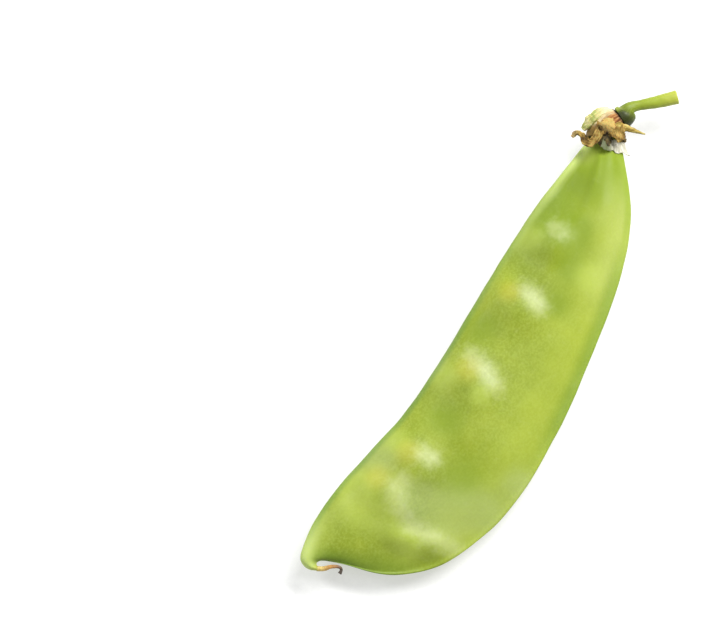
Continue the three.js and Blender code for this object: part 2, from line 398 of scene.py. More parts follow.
# %% How the pod lies
MIDDLE_HEIGHT = 3.35  # mm, of the pod's middle plane where it rests
REST_X = 42
BOW_REACH = 45  # this many mm to either side of there,
BOW_RISE = 1.6  # the middle plane has risen by this much
ROLL = 3  # degrees, by which the ventral edge lies higher,
NECK_ROLL = 3  # and as much again at the neck, which comes in
NECK_FROM = 58  # from here on
NECK_REACH = 28  # over this length


def pod_ring(share, grow=0.0):
    """The pod's ring at a share of its length, or one a little larger all round."""
    ventral, dorsal = smooth(VENTRAL, share), smooth(DORSAL, share)
    middle = (ventral + dorsal) / 2
    toward = (ventral - dorsal).normalized()
    neck = part_way(middle.x, NECK_FROM, NECK_REACH)
    roll = math.radians(ROLL + NECK_ROLL * neck * neck * (3 - 2 * neck))
    turn = turn_to(
        toward * math.cos(roll) + UP * math.sin(roll),
        toward * -math.sin(roll) + UP * math.cos(roll),
    )
    middle.z = MIDDLE_HEIGHT + BOW_RISE * ((middle.x - REST_X) / BOW_REACH) ** 2
    width = (ventral - dorsal).length
    size = width / 2 + grow, smooth(HALF_DEPTH, share) + grow
    return Ring(place(*middle), turn, *size, share)


print("height at the neck in mm", round(pod_ring(1.0).centre.z / MM, 2))

# %% The pod's rings
POD_ROWS = 48
POD_SIDES = 48
TIP_LENGTH = 0.24  # mm that the beak's rounded tip stands out
rings = [pod_ring(row / POD_ROWS) for row in range(POD_ROWS + 1)]
beak_way = (rings[0].centre - rings[1].centre).normalized()
tip, neck = rings[0], rings[-1]
rings = [
    end_ring(tip, 0.04, -0.02, beak_way * TIP_LENGTH * MM),
    tip._replace(
        centre=tip.centre + beak_way * 0.16 * MM,
        across=0.62 * tip.across,
        deep=0.62 * tip.deep,
        share=-0.01,
    ),
    *rings,
    end_ring(neck, 0.05, 1.01),
]
pod = loft("pea_pod", POD_SIDES, rings, pod_depth)
soften(pod, 1)

# %% [markdown]
# ## The peas in the pod
# The young peas press the valve up from inside. In clay you would push each one out with a
# fingertip, and proportional editing does the same: a few points are lifted, and the skin round
# them follows less and less. The valve that lies on the table is pressed flatter, so it swells
# less there. The first pea draws the skin into a crease, and between the peas the valve sinks a
# little.

# %% Pressing on the skin
FINGER = 0.6  # mm, half the size of the patch of skin that is pushed


def push_skin(x, y, side, lift, reach, across=FINGER):
    """Lifts a patch of skin at a place in plan, on top (side 1) or below (-1). The patch is
    `across` mm wide to either side of it across the pod, and the lift fades out over `reach`."""
    target = place(x, y, 3.5 + 3.5 * side)  # 7 mm up, or on the table
    near = min(edit_mesh().verts, key=lambda v: (v.co - target).length).co.copy()
    choose(
        lambda v: abs(v.co.x - near.x) < FINGER * MM
        and abs(v.co.y - near.y) < across * MM
        and abs(v.co.z - near.z) < 1.5 * MM
    )
    bpy.ops.transform.translate(
        value=(0, 0, lift * side * MM),
        use_proportional_edit=True,
        use_proportional_connected=True,
        proportional_edit_falloff="SMOOTH",
        proportional_size=reach * MM,
    )


# %% The peas, the crease and the hollows
PEAS = [(17.3, -4.4), (24.4, -5.4), (41.0, -4.4), (55.1, -3.4), (66.6, -0.8)]
PEA_HALVES = [3.2, 2.8, 3.4, 3.2, 1.6]  # mm, half of each swelling's length across the pod
PEA_LIFT, PEA_REACH = 0.95, 4.6  # mm, on the upper valve
LOWER_LIFT, LOWER_REACH = 0.35, 6.0  # mm, on the valve pressed to the table
CREASE = [  # runs on from the first pea towards the dorsal suture
    (12.9, -9.1), (12.5, -11.3), (13.3, -13.7), (14.5, -16.1), (15.5, -17.9)
]
CREASE_LIFT, CREASE_REACH = 0.55, 3.2  # mm
HOLLOWS = [  # each with how far it reaches
    (29.0, -12.0, 6.5), (33.0, -3.5, 5.0), (48.3, -2.5, 5.0), (61.3, -1.0, 4.5), (75.0, -0.5, 5.0)
]
HOLLOW_LIFT = -0.55  # mm

bpy.context.view_layer.objects.active = pod
bpy.ops.object.mode_set(mode="EDIT")
for (x, y), half_long in zip(PEAS, PEA_HALVES):
    push_skin(x, y, 1, PEA_LIFT, PEA_REACH, across=half_long)
    push_skin(x, y, -1, LOWER_LIFT, LOWER_REACH)
for x, y in CREASE:
    push_skin(x, y, 1, CREASE_LIFT, CREASE_REACH)
for x, y, reach in HOLLOWS:
    push_skin(x, y, 1, HOLLOW_LIFT, reach)
bpy.ops.object.mode_set(mode="OBJECT")
soften(pod, 1)
print("peas", len(PEAS), "hollows", len(HOLLOWS))

# %% [markdown]
# ## A living skin
# Nothing grown is even. A soft cloud pattern moves the skin by a tenth of a millimetre, which is
# not seen as bumps, only in the way that it breaks up the highlights. Then the lowest points are
# pressed flat, where the pod's weight rests.

# %% Unevenness, and the resting spot
def ripple(piece, name, size, strength, depth=1):
    """Moves the skin in and out by a cloudy pattern, `size` mm across, by `strength` mm in all."""
    pattern = bpy.data.textures.new(name, "CLOUDS")
    pattern.noise_scale = size * MM
    pattern.noise_depth = depth
    settings = {"texture": pattern, "strength": strength * MM, "mid_level": 0.5}
    apply_modifier(piece, "DISPLACE", texture_coords="LOCAL", **settings)


ripple(pod, "slow swell of the valves", 7.0, 0.28)
ripple(pod, "fine unevenness", 1.6, 0.03)
bpy.ops.object.mode_set(mode="EDIT")
resting = choose(lambda v: v.co.z < 0)
bpy.ops.transform.resize(value=(1, 1, 0), center_override=ORIGIN)
bpy.ops.object.mode_set(mode="OBJECT")
print("points that rest on the table", resting)

# %% [markdown]
# ## Where the skin differs
# The skin swells over each pea and along the crease, where the highlights fall, and its colour
# differs from place to place, with painted light and shade among it. A painted map could hold
# that, wrapped round the pod. Here each point of the mesh gets a number instead for each kind of
# place, for how near it lies to the highlight lines, and for how far in it lies from either
# suture, and the pod's finish mixes its colours by these numbers. That needs no unwrapping.

# %% The places
HIGHLIGHT_LINES = [  # lines in plan where the highlights fall, along which highlights are painted
    [(20.4, -5.4), (18.2, -5.4), (16.5, -7.4), (15.4, -10.6), (15.5, -14.4), (16.6, -18.2)],
    [(25.8, -5.8), (26.0, -7.4)],
    [(43.8, -2.0), (43.2, -5.4), (41.8, -8.6)],
    [(57.8, -3.4), (56.8, -6.8)],
    [(68.8, -1.0), (68.7, -1.6)],
]
HIGHLIGHT_STEPS = 16
HIGHLIGHT_SPREAD = 3.4  # square millimetres, over which the painted highlight fades out
PLACES = {  # points in plan, each with how far it reaches
    "yellowed": [(18.3, -1.8, 2.4), (24.6, -3.4, 2.4), (41.5, -3.2, 2.6), (55.9, -1.2, 2.2)],
    # painted shade in the hollows between and beside the peas
    "painted_shade": [
        (79.0, -2.0, 6.0), (69.5, -4.2, 3.8), (70.2, -3.6, 2.2), (48.5, -0.8, 3.4),
        (32.6, -5.0, 3.6), (26.4, -13.0, 4.5), (64.5, -7.0, 3.2), (58.5, -8.6, 2.6),
    ],
    # painted light where the skin faces the lamps
    "painted_light": [
        (15.8, 0.4, 3.2), (12.2, -2.2, 3.2), (13.4, -7.2, 3.0), (12.6, -12.2, 2.5),
        (65.1, 1.3, 2.5), (38.5, -0.5, 2.6), (39.0, -7.4, 2.0), (65.5, -10.2, 2.6),
        (81.8, 2.4, 1.8), (24.9, -0.6, 2.6),
    ],
    # wax bloom, with a painted sheen, in pale grey patches
    "wax_and_sheen": [
        (20.4, -14.8, 4.6), (21.0, -0.2, 3.2), (19.2, -8.5, 3.0), (18.5, -11.5, 2.8),
        (24.5, -19.0, 3.4), (31.5, -21.0, 3.0),
    ],
}
NOTES = ("from_ventral", "from_dorsal", "near_highlight", *PLACES)
highlight_curves = [[Vector(point) for point in highlight_line] for highlight_line in HIGHLIGHT_LINES]
highlight_points = [
    smooth(line, step / HIGHLIGHT_STEPS) for line in highlight_curves for step in range(HIGHLIGHT_STEPS + 1)
]
print("places", {name: len(spots) for name, spots in PLACES.items()}, "painted_highlight_lines", len(HIGHLIGHT_LINES))

# %% Noting them on the pod's points
def note_numbers(piece):
    """Notes each point's distance in from either suture, in mm, and what places it lies in."""
    mesh = piece.data
    places = [note.vector.copy() for note in mesh.attributes["skin_place"].data]
    notes = {name: [] for name in NOTES}
    for v, (across, _, share) in zip(mesh.vertices, places):
        half_width = (smooth(VENTRAL, share) - smooth(DORSAL, share)).length / 2
        here = v.co / MM - PLAN_ZERO
        off_highlight = min((here.x - x) ** 2 + (here.y - y) ** 2 for x, y in highlight_points)
        notes["from_ventral"].append((1 - across) * half_width)
        notes["from_dorsal"].append((1 + across) * half_width)
        notes["near_highlight"].append(math.exp(-off_highlight / HIGHLIGHT_SPREAD))
        for name, spots in PLACES.items():
            off = [((here.x - x) ** 2 + (here.y - y) ** 2) / reach**2 for x, y, reach in spots]
            notes[name].append(sum(math.exp(-o) for o in off if o < 6))
    for name, values in notes.items():
        mesh.attributes.new(name, "FLOAT", "POINT").data.foreach_set("value", values)


note_numbers(pod)
finish_piece(pod, "pod")

# %% [markdown]
# ## The stalk
# The pod hung from its pedicel by a swollen head, the receptacle, which carried the flower. It is
# a fleshy green stem, snapped off at its far end, where the paler pith shows. It is lofted as the
# pod is, of plain round rings. The last of them turn in to make the snapped face, which is a
# little hollow.

# %% The stalk
CUP_POINTS = [(86.09, 1.05, 4.93), (86.88, 1.44, 4.93), (88.6, 1.75, 5.15), (90.3, 1.2, 5.3)]
STALK_POINTS = [(92.5, 0.9, 5.4), (93.8, 0.0, 5.4), (96.0, -2.1, 5.5), (98.65, -4.33, 5.6)]
STALK_HALF = [1.95, 1.85, 1.15, 0.87, 1.04, 1.2]  # mm
cup_line = [place(*point) for point in CUP_POINTS]  # from the cup's rim to its foot
calyx_foot = cup_line[-1]
calyx_way = (calyx_foot - smooth(cup_line, 0.97)).normalized()
stalk_line = [
    calyx_foot + calyx_way * 0.05 * MM,
    calyx_foot + calyx_way * 1.05 * MM,
    *[place(*point) for point in STALK_POINTS],
]
rings = rod_rings(stalk_line, STALK_HALF, STALK_HALF, 30)
head, end = rings[0], rings[-1]
rings = [
    end_ring(head, 0.05, -0.02),
    end_ring(head, 1.6, -0.01),
    *rings,
    end_ring(end, 1.02, 1.01),
    end_ring(end, 0.6, 1.02, -calyx_way * 0.06 * MM),
    end_ring(end, 0.05, 1.03, -calyx_way * 0.1 * MM),
]
stalk = loft("pedicel", 24, rings)
soften(stalk, 2)
ripple(stalk, "stalk unevenness", 1.2, 0.12)
finish_piece(stalk, "stalk")

# %% [markdown]
# ## The dried style
# The style was the thread that took the pollen down. It has dried to a stiff amber hook with a
# dark tip, bent back under the beak. It is the same kind of loft, hardly a millimetre thick.

# %% The dried style
STYLE_BREADTH = [0.46, 0.42, 0.34, 0.27, 0.25, 0.34]  # mm, halves
STYLE_DEPTH = [0.42, 0.36, 0.3, 0.24, 0.24, 0.3]
beak_tip = place(0.825, -2.575, 4.69)
style_way = Vector((0.57, -0.82, 0.0))
style_line = [
    beak_tip - style_way * 0.2 * MM,
    beak_tip + style_way * 1.0 * MM,
    beak_tip + Vector((1.4, -1.5, 0.3)) * MM,
    beak_tip + Vector((2.2, -2.6, 0.35)) * MM,
    beak_tip + Vector((2.1, -3.25, 0.1)) * MM,
    beak_tip + Vector((1.4, -3.35, 0.0)) * MM,
]
rings = rod_rings(style_line, STYLE_BREADTH, STYLE_DEPTH, 24)
rings = [end_ring(rings[0], 0.03, -0.01), *rings, end_ring(rings[-1], 0.03, 1.01)]
style = loft("style_hook", 12, rings)
soften(style, 2)
ripple(style, "style shrivel", 0.5, 0.1)
finish_piece(style, "dried_style")

# %% [markdown]
# ## The calyx cup
# Below the lobes the calyx is a short cup that held the flower. It has shrunk and split away from
# the stalk's head. The loft goes up its outside from foot to rim, over the rim, and back down
# inside, so it is a real cup with a wall. Nerves run up it, drawn as ridges in the section.

# %% The calyx cup
CUP_ROWS = 16
NERVES = 10  # all round the cup
NERVE_RISE = 0.05  # of the cup's half depth
foot_to_rim = cup_line[::-1]
outside = rod_rings(foot_to_rim, [1.9, 2.75, 3.3, 3.35], [1.9, 2.55, 2.8, 2.8], CUP_ROWS)
inside = rod_rings(foot_to_rim, [1.2, 2.2, 2.85, 3.0], [1.2, 2.05, 2.35, 2.4], CUP_ROWS)
inside = inside[: CUP_ROWS // 2 - 1 : -1]  # from the rim down to half its depth
rings = [
    end_ring(outside[0], 0.05, -0.01),
    *outside,
    *[ring._replace(share=2 - ring.share) for ring in inside],
    end_ring(inside[-1], 0.05, 2.01),
]


def nerved(ring, across):
    """A round section with the calyx's nerves as low ridges."""
    angle = math.acos(max(-1.0, min(1.0, across)))
    return ring.deep * (math.sin(angle) + NERVE_RISE * math.cos(NERVES * angle) * math.sin(angle))


cup = loft("calyx_cup", 40, rings, nerved)
soften(cup, 2)
ripple(cup, "cup shrivel", 1.2, 0.5, depth=2)
finish_piece(cup, "calyx")

# %% [markdown]
# ## The sepals
# The five lobes of the calyx have dried each in its own way: one broad and still greenish, one
# curled over the suture like a shaving, one crumpled and brown on top, one drawn to a spike, and
# one short. A dry leaf is easiest to make flat: a grid is cut to its outline, given a midrib and a
# thickness, and then bent along a drawn curve by the Curve modifier. A cloudy displacement
# crumples it last. A shred of petal beside them, blackened as painted shade in the hollow under
# the lobes, is made in the same way.

# %% A line to bend a sepal along
def draw_line(name, points, tilts):
    """A Bezier curve through the points, with its tilt at each, for a sepal to be bent along."""
    bpy.ops.object.select_all(action="DESELECT")
    bpy.ops.curve.primitive_bezier_curve_add(location=ORIGIN)
    line = bpy.context.object
    line.name = name
    line.data.dimensions = "3D"
    line.data.twist_mode = "Z_UP"
    line.data.resolution_u = 24
    spline = line.data.splines[0]
    spline.bezier_points.add(len(points) - 2)
    for knot, point, tilt in zip(spline.bezier_points, points, tilts):
        knot.handle_left_type = knot.handle_right_type = "AUTO"
        knot.co = point
        knot.tilt = math.radians(tilt)
    print(name, "length in mm", round(spline.calc_length() / MM, 1))
    return line


# %% Cutting a flat sepal
SEPAL_ROWS = 30
SEPAL_LANES = 8
MIDRIB, NERVE, FURROW = 0.12, 0.06, -0.05  # mm that each lane of the sepal stands up


def cut_outline(breadth, length, chance):
    """Draws the grid to the sepal's outline, one row of points at a time, with an uneven edge."""
    for row in range(SEPAL_ROWS + 1):
        x = row / SEPAL_ROWS * length * MM
        choose(lambda v: abs(v.co.x - x) < 1e-6)
        wide = smooth(breadth, row / SEPAL_ROWS) * chance.uniform(0.88, 1.08)
        bpy.ops.transform.resize(value=(1, wide, 1), center_override=ORIGIN)
        bpy.ops.transform.translate(value=(0, chance.uniform(-0.06, 0.06) * wide * MM, 0))


def note_layout():
    """Lays out the flat sepal's own UV map, on which 1 is a millimetre."""
    mesh = edit_mesh()
    flat = mesh.loops.layers.uv.verify()
    for face in mesh.faces:
        for loop in face.loops:
            loop[flat].uv = (loop.vert.co.x / MM, loop.vert.co.y / MM)


def raise_nerves(breadth, length, cupped):
    """Raises the midrib and the nerves, and cups the sepal by `cupped` mm at its edges."""

    def lane_share(v):
        """How far out towards the sepal's edge a point lies, from 0 on the midrib to 1."""
        wide = smooth(breadth, v.co.x / MM / length) * MM
        return abs(v.co.y) / wide

    for lane in range(SEPAL_LANES // 2 + 1):
        share = lane / (SEPAL_LANES / 2)
        choose(lambda v: abs(lane_share(v) - share) < 0.12)
        nerve = NERVE if lane % 2 == 0 else FURROW
        lift = cupped * share**2 + (MIDRIB if lane == 0 else nerve)
        bpy.ops.transform.translate(value=(0, 0, lift * MM))


# %% Making a sepal
def make_sepal(name, points, breadth, tilts, thick, cupped, crumple, seed):
    """A dry sepal: its line in plan, half breadths, tilts in degrees, and how far it crumples."""
    line = draw_line(name + "_line", [place(*point) for point in points], tilts)
    length = line.data.splines[0].calc_length() / MM
    bpy.ops.object.select_all(action="DESELECT")
    bpy.ops.mesh.primitive_grid_add(
        x_subdivisions=SEPAL_ROWS, y_subdivisions=SEPAL_LANES, size=MM, location=ORIGIN
    )
    sepal = bpy.context.object
    sepal.name = sepal.data.name = name
    bpy.ops.object.mode_set(mode="EDIT")
    bpy.ops.mesh.select_all(action="SELECT")
    bpy.ops.transform.translate(value=(0.5 * MM, 0, 0))
    bpy.ops.transform.resize(value=(length, 2, 1), center_override=ORIGIN)
    cut_outline(breadth, length, random.Random(seed))
    note_layout()
    raise_nerves(breadth, length, cupped)
    bpy.ops.object.mode_set(mode="OBJECT")
    apply_modifier(sepal, "SOLIDIFY", thickness=thick * MM, offset=0.0)
    soften(sepal, 2)
    apply_modifier(sepal, "CURVE", object=line, deform_axis="POS_X")
    ripple(sepal, name + " crumple", 0.9, crumple, depth=2)
    bpy.data.objects.remove(line)
    finish_piece(sepal, "calyx")
    return sepal


# %% The five sepals, and a shred of petal
SEPALS = [
    ("sepal_broad", [(90.2, 2.7, 6.15), (89.1, 3.75, 6.8), (87.2, 4.25, 7.0), (84.9, 4.8, 6.15)],
     [0.5, 1.1, 1.38, 0.45], [-30, -35, -40, -40], 0.22, -0.5, 0.3, 3),
    ("sepal_ribbon", [(87.6, 2.9, 7.3), (86.3, 2.4, 7.8), (85.0, 2.1, 8.0), (83.7, 2.2, 8.1),
                      (83.3, 3.3, 8.0), (83.7, 4.4, 7.7), (83.6, 5.3, 7.3), (82.8, 5.6, 6.8)],
     [1.0, 0.9, 0.8, 0.85, 0.8, 0.6, 0.42, 0.25], [0, 20, 25, 35, 10, 30, 20, 0],
     0.2, 0.35, 0.45, 5),
    ("sepal_crumpled", [(89.2, 1.9, 7.3), (88.2, 2.0, 8.0), (87.2, 1.9, 8.3), (86.0, 1.7, 8.1)],
     [0.8, 1.25, 1.25, 0.6], [0, 10, -10, 0], 0.25, -0.45, 0.5, 8),
    ("sepal_spike", [(88.4, 1.2, 7.3), (89.1, -0.6, 7.5), (89.6, -2.1, 7.4), (90.15, -3.85, 7.2)],
     [0.9, 0.62, 0.36, 0.06], [0, 0, 10, 10], 0.2, -0.35, 0.12, 13),
    ("sepal_short", [(88.6, 0.7, 7.2), (87.7, 0.0, 7.8), (87.1, -0.7, 8.0), (86.6, -1.3, 7.8)],
     [0.9, 1.3, 1.1, 0.35], [0, 10, -20, 0], 0.2, 0.3, 0.5, 21),
    # a shred of petal in the hollow under the lobes, blackened as painted shade
    ("shade_petal_shred", [(87.2, 1.4, 7.3), (86.0, 1.2, 7.6), (85.0, 1.1, 7.5), (84.3, 1.3, 7.3)],
     [0.9, 1.35, 1.3, 0.5], [0, -10, 15, 0], 0.2, -0.3, 0.45, 34),
]
sepals = [make_sepal(*sepal) for sepal in SEPALS]

# %% [markdown]
# ## The stamen sheath
# Nine of the pea flower's ten stamens are joined in a tube, which stays round the young pod as a
# scrap of white paper and tears as the pod swells. It is an arc of a ring a little larger than the
# neck, extruded along it away from the calyx and flared, with its far edge torn.

# %% The sheath's rings
SHEATH_ROWS = 12
SHEATH_FROM = 0.962  # share of the pod's length, under the calyx,
SHEATH_REACH = 0.052  # and how much less it is at the free edge
NECK_GAP = 0.45  # mm between the neck's skin and the middle of the paper
FLARE = 0.35  # mm more at the free edge
CREST_GAP = 0.22  # mm more over the neck's crest


def sheath_ring(row):
    """The sheath's ring this many rows out from the calyx, which has the neck's own section."""
    free = row / SHEATH_ROWS
    ring = pod_ring(SHEATH_FROM - SHEATH_REACH * free, grow=NECK_GAP + FLARE * free**2)
    return ring._replace(share=free, deep=ring.deep + CREST_GAP)


rings = [sheath_ring(row) for row in range(SHEATH_ROWS + 1)]
print("sheath length in mm", round((rings[0].centre - rings[-1].centre).length / MM, 1))

# %% Extruding an arc through them
sheath = start_circle("stamen_paper", 96)
draw_section(rings[0], pod_depth)
choose(lambda v: not (v.co.y > -0.08 * MM and v.co.x < 0.2 * MM))  # all but the upper dorsal arc
bpy.ops.mesh.delete(type="VERT")
bpy.ops.mesh.select_all(action="SELECT")
arc_points = len(edit_mesh().verts)
extrude_through(rings, pod_depth)
bpy.ops.object.mode_set(mode="OBJECT")
print("points round the arc", arc_points)

# %% Tearing its edge
TEARS = 16
torn = random.Random(4)
way_home = (rings[0].centre - rings[-1].centre).normalized()
edge = [v.co.copy() for v in sheath.data.vertices[-arc_points:]]
bpy.ops.object.mode_set(mode="EDIT")
for tear in range(TEARS):
    here = edge[int((tear + torn.random()) / TEARS * len(edge))]
    choose(lambda v: (v.co - here).length < 0.2 * MM)
    bpy.ops.transform.translate(
        value=way_home * torn.uniform(0.15, 0.7) * MM,
        use_proportional_edit=True,
        proportional_edit_falloff="SHARP",
        proportional_size=torn.uniform(0.5, 1.4) * MM,
    )
end_edit()
apply_modifier(sheath, "SOLIDIFY", thickness=0.16 * MM, offset=0.0)
soften(sheath, 2)
ripple(sheath, "paper crinkle", 1.1, 0.35, depth=2)
finish_piece(sheath, "stamen_sheath")

# %% [markdown]
# ## Painting with nodes
# Every finish starts from what the real surface is, and how it reflects: fresh plant skin is a
# thin wax (index of refraction about 1.4) over wet, translucent cells, and a dry sepal is rough
# and papery. The colours are written as a paint program writes them and turned to linear values.
# Patterns are laid out in millimetres, so that their scale can be read straight off the plant.

# %% Colours and nodes
def colour(code):
    """An sRGB colour, as a paint program writes it, as the linear values that shaders use."""
    parts = [int(code[i : i + 2], 16) / 255 for i in (0, 2, 4)]
    return (*[p / 12.92 if p <= 0.04045 else ((p + 0.055) / 1.055) ** 2.4 for p in parts], 1.0)


def fill(tree, node, inputs):
    """Fills a node's inputs with values or with other nodes' outputs."""
    for socket, value in inputs.items():
        if isinstance(value, bpy.types.NodeSocket):
            tree.links.new(value, node.inputs[socket])
        else:
            node.inputs[socket].default_value = value


def add(tree, kind, inputs=None, stops=(), **settings):
    """Adds a node, sets it, fills its inputs, and gives a colour ramp its stops."""
    made = tree.nodes.new("ShaderNode" + kind)
    for name, value in settings.items():
        setattr(made, name, value)
    if stops:
        elements = made.color_ramp.elements
        elements.remove(elements[1])
        elements[0].position, elements[0].color = stops[0][0], colour(stops[0][1])
        for position, code in stops[1:]:
            elements.new(position).color = colour(code)
    fill(tree, made, inputs or {})
    return made


print("middle grey, 808080, is", round(colour("808080")[0], 3), "in linear light")

# %% Laying one colour over another
BASE, OVER, PAINTED = 6, 7, 2  # a colour mix's two colours and its result


def paint_over(tree, base, code, value, low, high, start, end, where=None):
    """Lays a colour over the base. Its share runs from start to end as a value runs from low to
    high, and is cut down by `where`, a share of its own."""
    ends = {"Value": value, "From Min": low, "From Max": high, "To Min": start, "To Max": end}
    share = add(tree, "MapRange", ends, interpolation_type="SMOOTHSTEP").outputs["Result"]
    if where:
        share = add(tree, "Math", {0: share, 1: where}, operation="MULTIPLY").outputs["Value"]
    colours = {"Factor": share, BASE: base, OVER: colour(code)}
    return add(tree, "Mix", colours, data_type="RGBA").outputs[PAINTED]


def paint_all(tree, base, paints, bands):
    """Lays paints over the base in turn. Each says its colour, what it goes by, from where to
    where, its share at either end, and the band that cuts it down."""
    for code, value, low, high, start, end, band in paints:
        base = paint_over(tree, base, code, value, low, high, start, end, where=bands[band])
    return base


# %% Starting and ending a finish
def new_finish(name):
    """An empty material, its node tree and its surface shader."""
    material = bpy.data.materials.new(name)
    material.use_nodes = True
    return material, material.node_tree, material.node_tree.nodes["Principled BSDF"]


def in_millimetres(tree):
    """The piece's own coordinates, in millimetres."""
    at = add(tree, "TexCoord").outputs["Object"]
    return add(tree, "VectorMath", {0: at, "Scale": 1 / MM}, operation="SCALE").outputs["Vector"]


def on_skin(tree):
    """Where the skin is, as it was noted: the whole note, how far round, and how far along."""
    note = add(tree, "Attribute", attribute_name="skin_place").outputs["Vector"]
    around, _, along = add(tree, "SeparateXYZ", {"Vector": note}).outputs
    return note, around, along


def fibres_on(tree, at, stretch, scale, detail):
    """Noise drawn out into fibres, by stretching what it is laid on."""
    stretched = add(tree, "Mapping", {"Vector": at, "Scale": stretch}).outputs["Vector"]
    noise = {"Vector": stretched, "Scale": scale, "Detail": detail}
    return add(tree, "TexNoise", noise).outputs["Fac"]


def dress(tree, shader, base, height, strength, deep, inputs):
    """Sets the surface: its colour, its bumps of `deep` mm by a height, and the rest by name."""
    bumps = add(tree, "Bump", {"Height": height, "Strength": strength, "Distance": deep * MM})
    fill(tree, shader, {"Base Color": base, "Normal": bumps.outputs["Normal"], **inputs})


def put_on(piece, finish):
    """Gives a piece its finish."""
    piece.data.materials.append(finish)
    print(piece.name, "wears", finish.name, "nodes", len(finish.node_tree.nodes))


# %% [markdown]
# ## The finish of the pod's skin
# Close to, the valves are a yellow green that drifts from patch to patch, with a net of faint
# veins, and finely grained by their cells. These three patterns are the ground that the other
# colours are laid over.

# %% Patches, veins and cells
pod_skin, tree, shader = new_finish("fresh waxed pod skin")
mm = in_millimetres(tree)
# The patches are about 8 mm across.
patches = add(tree, "TexNoise", {"Vector": mm, "Scale": 0.13, "Detail": 3.0}).outputs["Fac"]
greens = [(0.3, "748418"), (0.5, "7f8e1e"), (0.7, "8c9926")]
skin = add(tree, "ValToRGB", {"Fac": patches}, stops=greens).outputs["Color"]

# The veins stand about 1.5 mm apart on the plant, and lie along the pod more than across it.
bent = add(tree, "TexNoise", {"Vector": mm, "Scale": 0.5, "Detail": 2.0}).outputs["Color"]
net_place = add(tree, "VectorMath", {0: mm, 1: bent}, operation="ADD").outputs["Vector"]
slant = {"Vector": net_place, "Rotation": (0, 0, math.radians(35)), "Scale": (0.35, 0.8, 0.5)}
net = {"Vector": add(tree, "Mapping", slant).outputs["Vector"], "Scale": 0.9}
veins = add(tree, "TexVoronoi", net, feature="DISTANCE_TO_EDGE").outputs["Distance"]
skin = paint_over(tree, skin, "a9b84c", veins, 0.0, 0.12, 0.07, 0.0)

# The cells are a tenth of that, and are drawn coarser, at 0.4 mm, so that they show.
cells = add(tree, "TexNoise", {"Vector": mm, "Scale": 1 / 0.4, "Detail": 3.0}).outputs["Fac"]
skin = paint_over(tree, skin, "b0c45a", cells, 0.35, 0.7, 0.0, 0.18)
print("nodes of the ground colour", len(tree.nodes))

# %% [markdown]
# ## The skin's bands and places
# Broad bands run beside both sutures, and both ribs are paler near the neck. At the beak, painted
# light lies along the ventral side and painted shade along the dorsal side, where the belly turns
# away from the lamps; past the crease the valve gets painted light. At the shoulder the ventral
# half gets painted shade and the dorsal side a painted reflection of the key light, and a thin
# painted shade runs along the middle of the dorsal suture. The skin is yellowed on the side of
# each pea, with painted shade between and beside the peas, painted light where it faces the lamps,
# and wax bloom with a painted sheen in pale grey patches. Each colour is laid over the last one by
# how far in from a suture, or how far along, the skin is. Where it should show in one part of the
# pod only, its share is cut down by a band that comes in along the pod.

# %% Bands along the pod
_, _, share_along = on_skin(tree)
noted = {name: add(tree, "Attribute", attribute_name=name).outputs["Fac"] for name in NOTES}
RISES = {  # the share of the pod's length where a band starts, and where it is full
    "to_neck": (0.6, 0.95),
    "to_beak": (0.5, 0.2),
    "off_neck": (0.8, 0.6),
    "past_crease": (0.39, 0.46),
    "beak_edge": (0.36, 0.24),
}
HUMPS = {  # a band's middle, and how far from it the band is gone, and full
    "off_ends": (0.66, 0.14, 0.06),
    "shoulder": (0.78, 0.12, 0.04),
}
bands = {"everywhere": None}
for name, (none, full) in RISES.items():
    rise = {"Value": share_along, "From Min": none, "From Max": full}
    bands[name] = add(tree, "MapRange", rise, interpolation_type="SMOOTHSTEP").outputs["Result"]
for name, (middle, none, full) in HUMPS.items():
    off = add(tree, "Math", {0: share_along, 1: middle}, operation="SUBTRACT").outputs["Value"]
    off = add(tree, "Math", {0: off}, operation="ABSOLUTE").outputs["Value"]
    hump = {"Value": off, "From Min": none, "From Max": full}
    bands[name] = add(tree, "MapRange", hump, interpolation_type="SMOOTHSTEP").outputs["Result"]
print("bands", list(bands))

